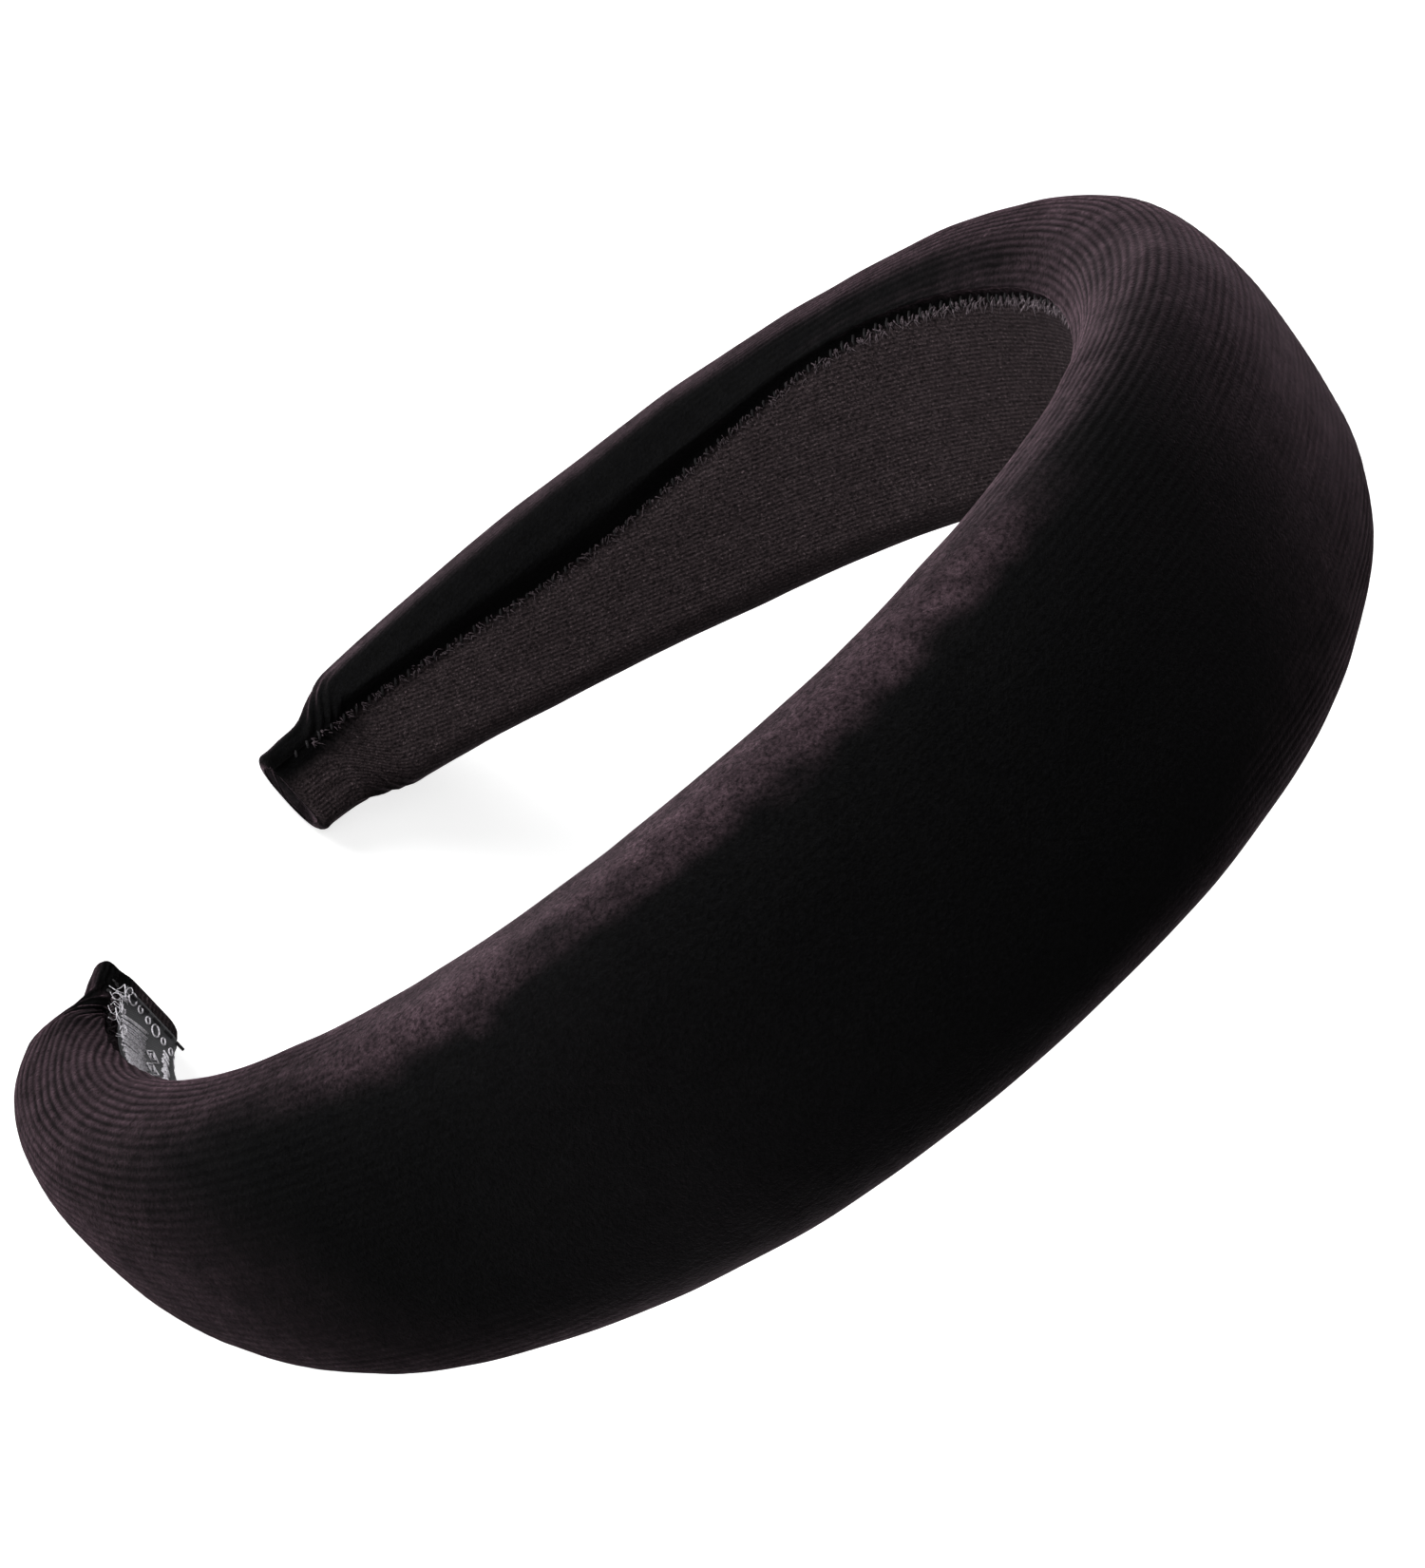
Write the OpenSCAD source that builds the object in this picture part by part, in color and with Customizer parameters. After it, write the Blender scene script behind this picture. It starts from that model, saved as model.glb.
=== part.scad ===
// Padded hair band. A springy plastic hoop carries a crowned foam pad. One sleeve of
// velvet goes round pad and hoop from tip to tip, and whip stitches close it along a
// single seam inside the front rim. Its ends are tucked in over the ends of the hoop.
//
// The band stands as it is worn: +Z is up through the crown, X runs from ear to ear
// with the wearer's left at +X, and -Y is the front. The origin is the centre of the
// crown arc, where the head sits. A place on the band is given by its length from the
// crown along the head face, its distance across the band and its height off that face.

/* [Hoop line] */
// Radius of the crown arc, at the face that touches the head
crown_r = 68.5; // [66:0.5:72]
// Radius of the shoulder arcs
shoulder_r = 57.5; // [54:0.5:62]
// Radius of the side arcs
side_r = 114; // [100:1:130]
// Radius of the tip arcs
tip_r = 36; // [32:1:42]
// Angle that the crown arc turns, on each side of the middle
crown_turn = 55; // [54:0.5:57]
// Angle that each shoulder arc turns
shoulder_turn = 52; // [46:0.5:54]
// Angle that each side arc turns
side_turn = 25.5; // [20:0.5:28]
// Angle that each tip arc turns
tip_turn = 34.5; // [28:0.5:36]
// How far each tip sweeps to the front
tip_sweep = 13; // [8:0.5:15]

/* [Pad] */
// Width of the band at the crown
crown_w = 40.5; // [38:0.5:44]
// Width of the band where the pad ends
pad_end_w = 17.5; // [16:0.5:20]
// Height of the band at the crown
crown_h = 17.6; // [16:0.1:20]
// Height of the band where the pad ends
pad_end_h = 6.5; // [6:0.1:8]
// Length over which the band narrows from the pad to each tip
neck_l = 10; // [9:0.5:14]
// Height of the widest place of the rims, as a share of the band's height
rim_share = 0.456; // [0.4:0.002:0.48]

/* [Sleeve] */
// Thickness of the velvet sleeve
cover_t = 0.8; // [0.6:0.1:0.9]
// How far the seam runs in front of the middle, over the crown
seam_crown_y = 13.6; // [12:0.2:14]
// How far the seam runs in front of the middle, along the ends of the arms
seam_arm_y = 4.4; // [3:0.2:5]
// Distance between whip stitches
stitch_pitch = 2.1; // [2.1:0.1:4]
// Thickness of the sewing thread
thread_d = 0.4; // [0.3:0.05:0.5]

/* [Hoop and tips] */
// Thickness of the plastic hoop
hoop_t = 1.6; // [1.4:0.1:1.8]
// Width of the hoop at its tips
hoop_tip_w = 10; // [9:0.2:10]
// Length of each narrow tip beyond the pad
tip_l = 5.4; // [4:0.2:8]
// Width of each tip
tip_w = 13.8; // [13.8:0.2:15]
// Thickness of each tip
tip_h = 4.4; // [4:0.1:5]

/* [Label] */
// Length of the woven label, along the band
label_l = 23; // [20:1:28]
// Width of the woven label
label_w = 10.5; // [8:0.5:10.5]
// Distance from the label to the end of the tip
label_end = 2.9; // [2:0.1:6]
// Thickness of the woven label
label_t = 0.35; // [0.3:0.05:0.5]

/* [Hidden] */

// Glue film, the clear gap between neighbouring layers, and the slit of the seam
film_t = 0.2;
gap = 0.05;
seam_slit = 0.1;
// Roundness of the rims, seen in a slice across the band
rim_curve = 0.78;
crown_curve = 0.79;
underside_curve = 0.6;
underside_flat = 0.13;
// How the width and height fall from crown to pad end
width_power = [2.8, 1.4];
height_power = [7, 1];
// How much the hoop widens with the band
hoop_share = 0.6;
// Lengths between which the seam drifts from its place at the crown to that on the arms
seam_drift = [80, 150];
// Steps along the band and across a slice
steps_along = 30;
steps_round = 20;
steps_arc = 12;

// Layer heights off the head face
glue_base = cover_t + gap;
hoop_base = glue_base + film_t + gap;
hoop_top = hoop_base + hoop_t;
foam_base = hoop_top + film_t + 2 * gap;

// The hoop line: four arcs on each side of the crown
arc_r = [crown_r, shoulder_r, side_r, tip_r];
arc_turn = [crown_turn, shoulder_turn, side_turn, tip_turn];
function reversed(list) = [for (i = [len(list) - 1:-1:0]) list[i]];
function total(list, count) = count == 0 ? 0 : list[count - 1] + total(list, count - 1);
arc_start_turn = [for (i = [0:4]) total(arc_turn, i)];
arc_l = [for (i = [0:3]) arc_r[i] * arc_turn[i] * PI / 180];
arc_start_l = [for (i = [0:4]) total(arc_l, i)];
half_l = arc_start_l[4];
pad_half_l = half_l - tip_l;
// The foam stops short of the pad's ends, where the sleeve closes round the hoop
foam_half_l = pad_half_l - 5;
// How far a whip stitch reaches behind the seam, in front of it, and along the band
stitch_in = 0.9;
stitch_out = 0.6;
stitch_slant = 0.8;
// The label lies beside the seam stitches, so its middle is behind that of the band
label_start = half_l - label_end - label_l;
label_y = label_w / 2 - seam_arm_y + stitch_in + 0.3;

// Centre of arc i, as [x, z]
function arc_centre(i) = i == 0 ? [0, 0]
  : arc_centre(i - 1) + (arc_r[i - 1] - arc_r[i]) * [sin(arc_start_turn[i]), cos(arc_start_turn[i])];
function arc_at(l) = l < arc_start_l[1] ? 0 : l < arc_start_l[2] ? 1 : l < arc_start_l[3] ? 2 : 3;
function turn_at(l) = arc_start_turn[arc_at(l)]
  + (l - arc_start_l[arc_at(l)]) / arc_r[arc_at(l)] * 180 / PI;
function head_face(l, height) = arc_centre(arc_at(l))
  + (arc_r[arc_at(l)] + height) * [sin(turn_at(l)), cos(turn_at(l))];
function sweep_at(l) = -tip_sweep * pow(l / half_l, 2);

// A point of the band: l from the crown (negative to the wearer's right), y across, h off the head
function band_point(l, y, h) = let (p = head_face(abs(l), h))
  [sign(l) * p[0], y + sweep_at(abs(l)), p[1]];

// The same point seen from the front, without its place across the band
function side_point(l, h) = let (p = head_face(abs(l), h)) [sign(l) * p[0], p[1]];

// Lengths at which a strip is bent, with every arc's ends among them
arm_rows = [for (i = [0:3], k = [1:steps_arc]) arc_start_l[i] + arc_l[i] * k / steps_arc];

// Width and height of the band, narrowed at the necks between pad and tips
function fade(l, power) = pow(max(0, 1 - pow(l / half_l, power[0])), power[1]);
function ease(share) = (1 - cos(180 * min(1, max(0, share)))) / 2;
function neck(l) = ease((pad_half_l - l) / neck_l);
function full_w(l) = pad_end_w + (crown_w - pad_end_w) * fade(l, width_power);
function full_h(l) = pad_end_h + (crown_h - pad_end_h) * fade(l, height_power);
function band_w(l) = tip_w + (full_w(l) - tip_w) * neck(l);
function band_h(l) = tip_h + (full_h(l) - tip_h) * neck(l);
function hoop_w(l) = hoop_tip_w + hoop_share * (full_w(l) - pad_end_w);
function seam_y(l) = seam_arm_y
  + (seam_crown_y - seam_arm_y) * ease((seam_drift[1] - l) / (seam_drift[1] - seam_drift[0]));

// Slice across the band at one angle: 0 at the rear rim, 90 on top, 180 at the front rim
function over_share(a) = rim_share + (1 - rim_share) * pow(sin(a), crown_curve);
function under_share(a) = rim_share
  * max(0, 1 - pow(-sin(a), underside_curve) - underside_flat) / (1 - underside_flat);
function slice_point(w, h, a) = [
  w / 2 * sign(cos(a)) * pow(abs(cos(a)), rim_curve),
  h * (sin(a) > 0 ? over_share(a) : under_share(a))
];
// Angle at which the underside, past the front rim, is a distance y from the middle
function front_angle(w, y) = 180 + acos(pow(2 * y / w, 1 / rim_curve));
function slice(w, h, lift, from, to, count = steps_round) =
  [for (k = [0:count]) slice_point(w, h, from + k * (to - from) / count) + [0, lift]];
// Slice of the sleeve: from the seam round the rear rim and the front rim to the seam
function sleeve_slice(w, h, lift, y) = slice(w, h, lift,
  front_angle(w, y - seam_slit / 2) - 360, front_angle(w, y + seam_slit / 2));

// Lengths of the slices, closest together at the two ends
function stations(end) = [for (i = [-steps_along:steps_along]) end * sin(90 * i / steps_along)];

// Solid through a row of rings that all have the same number of points. The end of a
// shell joins each point of its outer line to the one facing it on its inner line.
module loft(rings, shell = false) {
  size = len(rings[0]);
  last = len(rings) - 1;
  walls = [for (i = [0:last - 1]) for (k = [0:size - 1])
    let (a = i * size + k, b = i * size + (k + 1) % size)
    each [[a, a + size, b], [b, a + size, b + size]]];
  cap = shell
    ? [for (k = [0:size / 2 - 2]) each [[k, k + 1, size - 1 - k], [k + 1, size - 2 - k, size - 1 - k]]]
    : [[for (k = [0:size - 1]) k]];
  far_cap = [for (face = cap) [for (k = reversed(face)) last * size + k]];
  polyhedron([for (ring = rings) each ring], concat(walls, cap, far_cap), convexity = 8);
}

function ring(l, points) = [for (p = points) band_point(l, p[0], p[1])];

// Strip bent along the hoop line between two heights and two lengths, its half width
// given by a function of length and its middle a distance y across the band. Side 1 is
// the left arm, -1 the right, and 0 is one piece over the crown.
module strip(base, top, half_w, start, end, side = 0, y = 0) {
  arm = concat([start], [for (l = arm_rows) if (l > start + 0.5 && l < end - 0.5) l], [end]);
  whole = side == 0 ? concat(-reversed(arm), [for (l = arm) if (l > 0) l]) : side * arm;
  middle_z = function (l) head_face(l, (base + top) / 2)[1];
  edge = function (way) [
    [y + sweep_at(start) + way * half_w(start), crown_r + crown_h],
    for (l = arm) [y + sweep_at(l) + way * half_w(l), middle_z(l)],
    [y + sweep_at(end) + way * half_w(end), middle_z(end) - crown_h]
  ];
  intersection() {
    rotate([90, 0, 0]) linear_extrude(4 * crown_w, center = true)
      polygon([for (l = whole) side_point(l, top), for (l = reversed(whole)) side_point(l, base)]);
    rotate([90, 0, 90]) linear_extrude(4 * crown_r, center = true)
      polygon(concat(edge(1), reversed(edge(-1))));
  }
}

// Straight length of sewing thread
module thread(from, to) {
  way = to - from;
  translate(from)
    rotate([0, acos(way[2] / norm(way)), atan2(way[1], way[0])])
      cylinder(h = norm(way), d = thread_d, $fn = 16);
}

module hoop_core() {
  color("#1c1c20")
    strip(hoop_base, hoop_top, function (l) hoop_w(l) / 2, 0, half_l - cover_t - gap);
}

module pad_adhesive() {
  color("#c9b98a")
    strip(hoop_top + gap, hoop_top + gap + film_t, function (l) hoop_w(l) / 2, 0, foam_half_l);
}

module foam_pad() {
  inset = cover_t + gap;
  color("#3a383c") loft([for (l = stations(foam_half_l)) let (
      a = abs(l),
      w = band_w(a) - 2 * inset,
      h = band_h(a) - 2 * inset,
      channel = hoop_w(a) / 2 + 6 * gap,
      skin = slice(w, h, inset, 180 - front_angle(w, channel), front_angle(w, channel))
    ) ring(l, concat(skin, [[-channel, foam_base], [channel, foam_base]]))]);
}

module velvet_cover() {
  color("#17131a") loft([for (l = stations(half_l)) let (
      a = abs(l),
      w = band_w(a),
      h = band_h(a),
      outer = sleeve_slice(w, h, 0, seam_y(a)),
      inner = sleeve_slice(w - 2 * cover_t, h - 2 * cover_t, cover_t, seam_y(a))
    ) ring(l, concat(outer, reversed(inner)))], shell = true);
}

module cover_adhesive() {
  color("#c9b98a")
    strip(glue_base, glue_base + film_t, function (l) hoop_w(l) / 2 - cover_t, 0, half_l - cover_t - gap);
}

// Slanted stitches over the seam
module seam_stitches() {
  count = floor((half_l - tip_l / 2) / stitch_pitch);
  height = -thread_d / 2 - gap;
  color("#0d0b0e") for (i = [-count:count]) let (l = i * stitch_pitch, y = -seam_y(abs(l)))
    thread(band_point(l, y + stitch_in, height), band_point(l + stitch_slant, y - stitch_out, height));
}

// End of the sleeve, folded in over the end of the hoop
module tip_tuck(side) {
  inset = cover_t + gap;
  w = tip_w - 2 * inset;
  h = tip_h - 2 * inset;
  rim = 9;
  outline = concat(slice(w, h, inset, 0, 180, 10), slice(w, h, inset, 180 + rim, 360 - rim, 10));
  rows = [half_l - cover_t, half_l - cover_t / 2, half_l];
  color("#141015") loft([for (l = side > 0 ? rows : -reversed(rows)) ring(l, outline)], shell = true);
}

module left_tip_tuck() { tip_tuck(1); }

module right_tip_tuck() { tip_tuck(-1); }

module woven_label() {
  color("#1a191c") strip(-gap - label_t, -gap, function (l) label_w / 2,
    label_start, label_start + label_l, 1, label_y);
}

// One row of short stitches across each end of the label
module label_stitches() {
  height = -gap - label_t - thread_d / 2;
  color("#1f1e22")
    for (l = [label_start + 1, label_start + label_l - 1], i = [-2:2])
      let (y = label_y + i * label_w / 5)
        thread(band_point(l, y - label_w / 16, height), band_point(l, y + label_w / 16, height));
}

hoop_core();
pad_adhesive();
foam_pad();
velvet_cover();
cover_adhesive();
seam_stitches();
left_tip_tuck();
right_tip_tuck();
woven_label();
label_stitches();
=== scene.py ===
"""Looks of a padded velvet hair band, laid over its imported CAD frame.

Lengths are millimetres unless a name says metres, and make_piece turns them into
metres. A place on the band is given as in the part's source: l along the head face
from the crown (positive to the wearer's left), y across the band, h off the head face.
Across the velvet, s is the length along the cloth from the middle of the band.
"""
import math

import bpy
import numpy as np
from mathutils import Matrix, Vector


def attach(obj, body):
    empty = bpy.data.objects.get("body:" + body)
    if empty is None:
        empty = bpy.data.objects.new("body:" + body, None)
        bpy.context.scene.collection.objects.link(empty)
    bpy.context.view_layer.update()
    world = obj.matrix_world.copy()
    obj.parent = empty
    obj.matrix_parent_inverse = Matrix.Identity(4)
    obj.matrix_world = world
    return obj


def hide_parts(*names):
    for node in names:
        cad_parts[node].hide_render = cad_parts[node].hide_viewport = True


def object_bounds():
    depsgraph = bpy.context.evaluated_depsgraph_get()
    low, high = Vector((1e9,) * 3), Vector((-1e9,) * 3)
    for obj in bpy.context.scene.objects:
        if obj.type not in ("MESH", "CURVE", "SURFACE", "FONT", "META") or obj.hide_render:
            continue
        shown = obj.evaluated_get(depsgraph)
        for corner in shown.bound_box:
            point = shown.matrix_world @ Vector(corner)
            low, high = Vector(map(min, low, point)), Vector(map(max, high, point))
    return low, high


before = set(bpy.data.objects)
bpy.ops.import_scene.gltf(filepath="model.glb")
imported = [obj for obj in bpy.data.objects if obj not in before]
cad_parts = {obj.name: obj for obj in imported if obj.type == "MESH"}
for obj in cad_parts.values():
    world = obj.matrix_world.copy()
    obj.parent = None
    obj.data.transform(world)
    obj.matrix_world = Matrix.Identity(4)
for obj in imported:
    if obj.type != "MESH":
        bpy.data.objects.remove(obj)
cad_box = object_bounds()

MM = 0.001
BODY = "root"

# Hoop line: radius and turn of the arcs on each side of the crown
ARC_R = np.array([68.5, 57.5, 114.0, 36.0])
ARC_TURN = np.radians([55.0, 52.0, 25.5, 34.5])
ARC_START_TURN = np.append(0.0, np.cumsum(ARC_TURN))
ARC_START_L = np.append(0.0, np.cumsum(ARC_R * ARC_TURN))
HALF_L = ARC_START_L[-1]
TIP_SWEEP = 13.0

# Pad, sleeve and tips
CROWN_W, PAD_END_W = 40.5, 17.5
CROWN_H, PAD_END_H = 17.6, 6.5
NECK_L = 10.0
RIM_SHARE = 0.456
RIM_CURVE, CROWN_CURVE = 0.78, 0.79
UNDERSIDE_CURVE, UNDERSIDE_FLAT = 0.6, 0.13
WIDTH_POWER, HEIGHT_POWER = (2.8, 1.4), (7.0, 1.0)
COVER_T = 0.8
FILM_T = 0.2
GAP = 0.05
HOOP_TIP_W, HOOP_SHARE = 10.0, 0.6
HOOP_T = 1.6
TIP_L, TIP_W, TIP_H = 5.4, 13.8, 4.4
PAD_HALF_L = HALF_L - TIP_L
FOAM_HALF_L = PAD_HALF_L - 5
FOAM_BASE = COVER_T + HOOP_T + 2 * FILM_T + 4 * GAP

# Seam, sewing and label
SEAM_CROWN_Y, SEAM_ARM_Y = 13.6, 4.4
SEAM_DRIFT = (80.0, 150.0)
SEAM_SLIT = 0.1
END_CORNER = 1.2
STITCH_PITCH = 2.1
STITCH_IN, STITCH_OUT, STITCH_SLANT = 0.9, 0.6, 0.8
THREAD_R = 0.2
LABEL_L, LABEL_W, LABEL_T = 23.0, 10.5, 0.35
LABEL_END = 2.9
LABEL_START = HALF_L - LABEL_END - LABEL_L
LABEL_Y = LABEL_W / 2 - SEAM_ARM_Y + STITCH_IN + 0.3

# Settling of the sleeve: its rows and lines, how far a point may move, how much smaller
# it starts, how far the sleeve squeezes the foam, the share of the inner face that is
# glued, and the share of spare cloth
SETTLE_ROWS, SETTLE_LINES = 65, 31
SETTLE_FRAMES, SETTLE_PRESSURE = 20, 4
MOVE_CAP = 0.6
START_SMALLER = 0.3
SQUEEZE = 0.4
GLUED_SHARE, SPARE_CLOTH = 0.8, 0.007

# Corded velvet: distance between ribs outside and on the pressed inner face, columns of
# vertices outside, on the inner face and on the sleeve's back, and rows along the band
RIB, INNER_RIB = 1.0, 0.62
COLUMN, INNER_COLUMN, BACK_COLUMN = RIB / 3, 0.7, 5
ROW = 1.0

# Angle round the rear rim at which the inner face starts
INNER_START = math.radians(-38)

# Groove along the seam, and the swell of the cloth in front of it
GROOVE, GROOVE_W, SWELL = 0.5, 1.1, 1.35

# Heights of the sleeve's relief: ribs, puckers at the stitches, drag lines from them,
# gathers at the pad's ends, broad and fine unevenness, and the rounding of the two ends
RIB_HEIGHT, PUCKER, DRAG, GATHER = 0.2, 0.4, 0.16, 0.28
UNEVEN, FINE_UNEVEN = 0.2, 0.1
END_ROUNDING = 0.7

# Painted highlight, a brown band where light falls on the front rim of the left arm: where
# along the band it comes up and dies out, from which share of the half width, how brown it gets
RIM_HIGHLIGHT_FROM, RIM_HIGHLIGHT_TO, RIM_HIGHLIGHT_SHARE = (12, 40), (80, 112), (0.8, 1.03)
RIM_HIGHLIGHT = 0.7

# Foam rows and lines, blades to a tuft of pile
FOAM_ROWS, FOAM_LINES = 111, 59
TUFT_BLADES = 9

# Label pattern: radius of its threads, pitch and sizes of its rings, pitches of its
# satin threads and lozenges; then count and radius of the frayed thread ends
PATTERN_R = 0.12
RING_PITCH, RING_BIG, RING_SMALL = 1.45, 1.05, 0.6
SATIN_PITCH, LOZENGE_PITCH = 0.55, 3.0
FRAY_COUNT, FRAY_R = 16, 0.06

# Label: distance between its vertices in front and behind, its weave, and where and how
# far its rear edge bends up round the tip's rim
LABEL_COLUMN, LABEL_BACK_COLUMN, LABEL_WEAVE = 0.3, 3, 0.6
LABEL_BEND, LABEL_BEND_IN, LABEL_BEND_UP = 1.9, 0.45, 0.75


# ---------------------------------------------------------------- hoop line

def arc_centres():
    """Centre of each arc, as rows of (x, z)."""
    centres = [np.zeros(2)]
    for i in range(1, len(ARC_R)):
        turn = ARC_START_TURN[i]
        way = np.array([math.sin(turn), math.cos(turn)])
        centres.append(centres[-1] + (ARC_R[i - 1] - ARC_R[i]) * way)
    return np.array(centres)


ARC_CENTRE = arc_centres()


def turn_at(l):
    """Arc that holds l, and the angle turned from the crown."""
    away = np.abs(l)
    arc = np.clip(np.searchsorted(ARC_START_L, away, side="right") - 1, 0, 3)
    return arc, ARC_START_TURN[arc] + (away - ARC_START_L[arc]) / ARC_R[arc]


def band_point(l, y, h):
    """Points of the band from arrays of l, y and h."""
    l, y, h = np.broadcast_arrays(np.asarray(l, float), y, h)
    arc, turn = turn_at(l)
    r = ARC_R[arc] + h
    x = ARC_CENTRE[arc, 0] + r * np.sin(turn)
    z = ARC_CENTRE[arc, 1] + r * np.cos(turn)
    side = np.where(l < 0, -1.0, 1.0)
    return np.stack([side * x, y - TIP_SWEEP * (l / HALF_L) ** 2, z], axis=-1)


def pile_lean(l):
    """How far the pile leans, as a vector along the hoop line: towards the wearer's left,
    but the other way on the lower half of the left arm."""
    turn = turn_at(l)[1]
    side = np.where(np.asarray(l) < 0, -1.0, 1.0)
    lean = np.interp(l, [-180, -150, -60, -20, 25, 45, 75, 100, 160, 185],
                     [0.0, 0.45, 0.45, 0, 0, 0.5, 0.5, -0.55, -0.7, -0.5])
    return np.stack([lean * np.cos(turn), 0 * turn, -side * lean * np.sin(turn)], axis=-1)


# ---------------------------------------------------------------- sizes along the band

def fade(l, power):
    """1 at the crown, falling to 0 at the ends of the band."""
    return np.clip(1 - np.abs(l / HALF_L) ** power[0], 0, 1) ** power[1]


def full_w(l):
    """Width of the padded band, before its neck."""
    return PAD_END_W + (CROWN_W - PAD_END_W) * fade(l, WIDTH_POWER)


def full_h(l):
    """Height of the padded band, before its neck."""
    return PAD_END_H + (CROWN_H - PAD_END_H) * fade(l, HEIGHT_POWER)


def ease(share):
    """Smooth step from 0 to 1 while share goes from 0 to 1."""
    return (1 - np.cos(math.pi * np.clip(share, 0, 1))) / 2


def neck(l):
    """1 along the pad, falling to 0 at the tips over the length of the neck."""
    return ease((PAD_HALF_L - np.abs(l)) / NECK_L)


def band_w(l):
    return TIP_W + (full_w(l) - TIP_W) * neck(l)


def band_h(l):
    return TIP_H + (full_h(l) - TIP_H) * neck(l)


def hoop_w(l):
    """Width of the plastic hoop inside."""
    return HOOP_TIP_W + HOOP_SHARE * (full_w(l) - PAD_END_W)


def seam_y(l):
    """How far the seam runs in front of the middle."""
    drift = (SEAM_DRIFT[1] - np.abs(l)) / (SEAM_DRIFT[1] - SEAM_DRIFT[0])
    return SEAM_ARM_Y + (SEAM_CROWN_Y - SEAM_ARM_Y) * ease(drift)


# ---------------------------------------------------------------- small helpers

def soft_noise(u, v, seed, size=97):
    """Smooth noise from -1 to 1 over a plane whose cells are one unit wide."""
    grid = np.random.default_rng(seed).uniform(-1, 1, (size, size))
    cell_u, cell_v = np.floor(u).astype(int), np.floor(v).astype(int)
    part_u, part_v = u - cell_u, v - cell_v
    part_u = part_u * part_u * (3 - 2 * part_u)
    part_v = part_v * part_v * (3 - 2 * part_v)
    a, b = cell_u % size, (cell_u + 1) % size
    c, d = cell_v % size, (cell_v + 1) % size
    low = grid[a, c] * (1 - part_u) + grid[b, c] * part_u
    high = grid[a, d] * (1 - part_u) + grid[b, d] * part_u
    return low * (1 - part_v) + high * part_v


def step(value, start, end):
    """Smooth step from 0 at start to 1 at end."""
    return ease((value - start) / (end - start))


def even_rows(start, end, gap):
    """Evenly spaced values from start to end, about a gap apart."""
    return np.linspace(start, end, int(round((end - start) / gap)) + 1)


def zipped(first, second):
    """Triangles that join two rows of vertices, whatever their counts."""
    faces = []
    i = j = 0
    last_i, last_j = len(first) - 1, len(second) - 1
    while i < last_i or j < last_j:
        if j == last_j or (i < last_i and (i + 1) * last_j <= (j + 1) * last_i):
            faces.append((first[i], first[i + 1], second[j]))
            i += 1
        else:
            faces.append((first[i], second[j + 1], second[j]))
            j += 1
    return faces


class Grid:
    """Cloth over rows of different widths, its columns counted from the middle of the
    band. They keep their place and end where they meet an edge, as ribs do."""

    def __init__(self, low, high):
        first, last = np.ceil(low + 0.4).astype(int), np.floor(high - 0.4).astype(int)
        count = last - first + 3
        self.start = np.append(0, np.cumsum(count))
        self.row = np.repeat(np.arange(len(low)), count)
        self.column = np.concatenate([
            np.concatenate([[low[i]], np.arange(first[i], last[i] + 1), [high[i]]])
            for i in range(len(low))])
        columns = np.arange(first.min() - 1, last.max() + 2)
        place = np.clip(columns, first[:, None] - 1, last[:, None] + 1) - first[:, None] + 1
        index = self.start[:-1, None] + place
        corners = [index[:-1, :-1], index[:-1, 1:], index[1:, 1:], index[1:, :-1]]
        quads = np.stack(corners, axis=-1).reshape(-1, 4)
        self.faces = []
        for a, b, c, d in quads.tolist():
            ring = [a, b, c, d] if a != b else [a, c, d]
            ring = ring if c != d else ring[:-1]
            if len(ring) > 2:
                self.faces.append(ring)

    def rows(self, i):
        """Vertices of row i."""
        return list(range(self.start[i], self.start[i + 1]))

    def edges(self):
        """Vertices along both long edges."""
        return self.start[:-1].tolist(), (self.start[1:] - 1).tolist()


def shell_faces(skin, back):
    """Faces of a closed shell: its skin, its back, and the strips that join them.
    The back's vertices follow the skin's."""
    count = int(skin.start[-1])
    faces = list(skin.faces)
    faces += [[k + count for k in reversed(face)] for face in back.faces]
    for edge, far_edge, way in zip(skin.edges(), back.edges(), (-1, 1)):
        for i in range(len(edge) - 1):
            ring = [edge[i], edge[i + 1], far_edge[i + 1] + count, far_edge[i] + count]
            faces.append(ring[::way])
    for i, way in ((0, 1), (len(skin.start) - 2, -1)):
        ends = zipped(skin.rows(i), [k + count for k in back.rows(i)])
        faces += [list(face)[::way] for face in ends]
    return faces


def make_piece(name, points, faces, material, slot, replaces=(), **attributes):
    """Mesh piece from points in millimetres, riding on the band's one body."""
    mesh = bpy.data.meshes.new(name)
    mesh.from_pydata((np.asarray(points) * MM).tolist(), [], [list(f) for f in faces])
    for key, values in attributes.items():
        layer = mesh.attributes.new(key, "FLOAT_VECTOR", "POINT")
        layer.data.foreach_set("vector", np.asarray(values, np.float32).ravel())
    mesh.materials.append(material)
    mesh.shade_smooth()
    mesh.update()
    piece = bpy.data.objects.new(name, mesh)
    bpy.context.scene.collection.objects.link(piece)
    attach(piece, BODY)
    if replaces:
        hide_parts(*replaces)
    return piece


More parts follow.
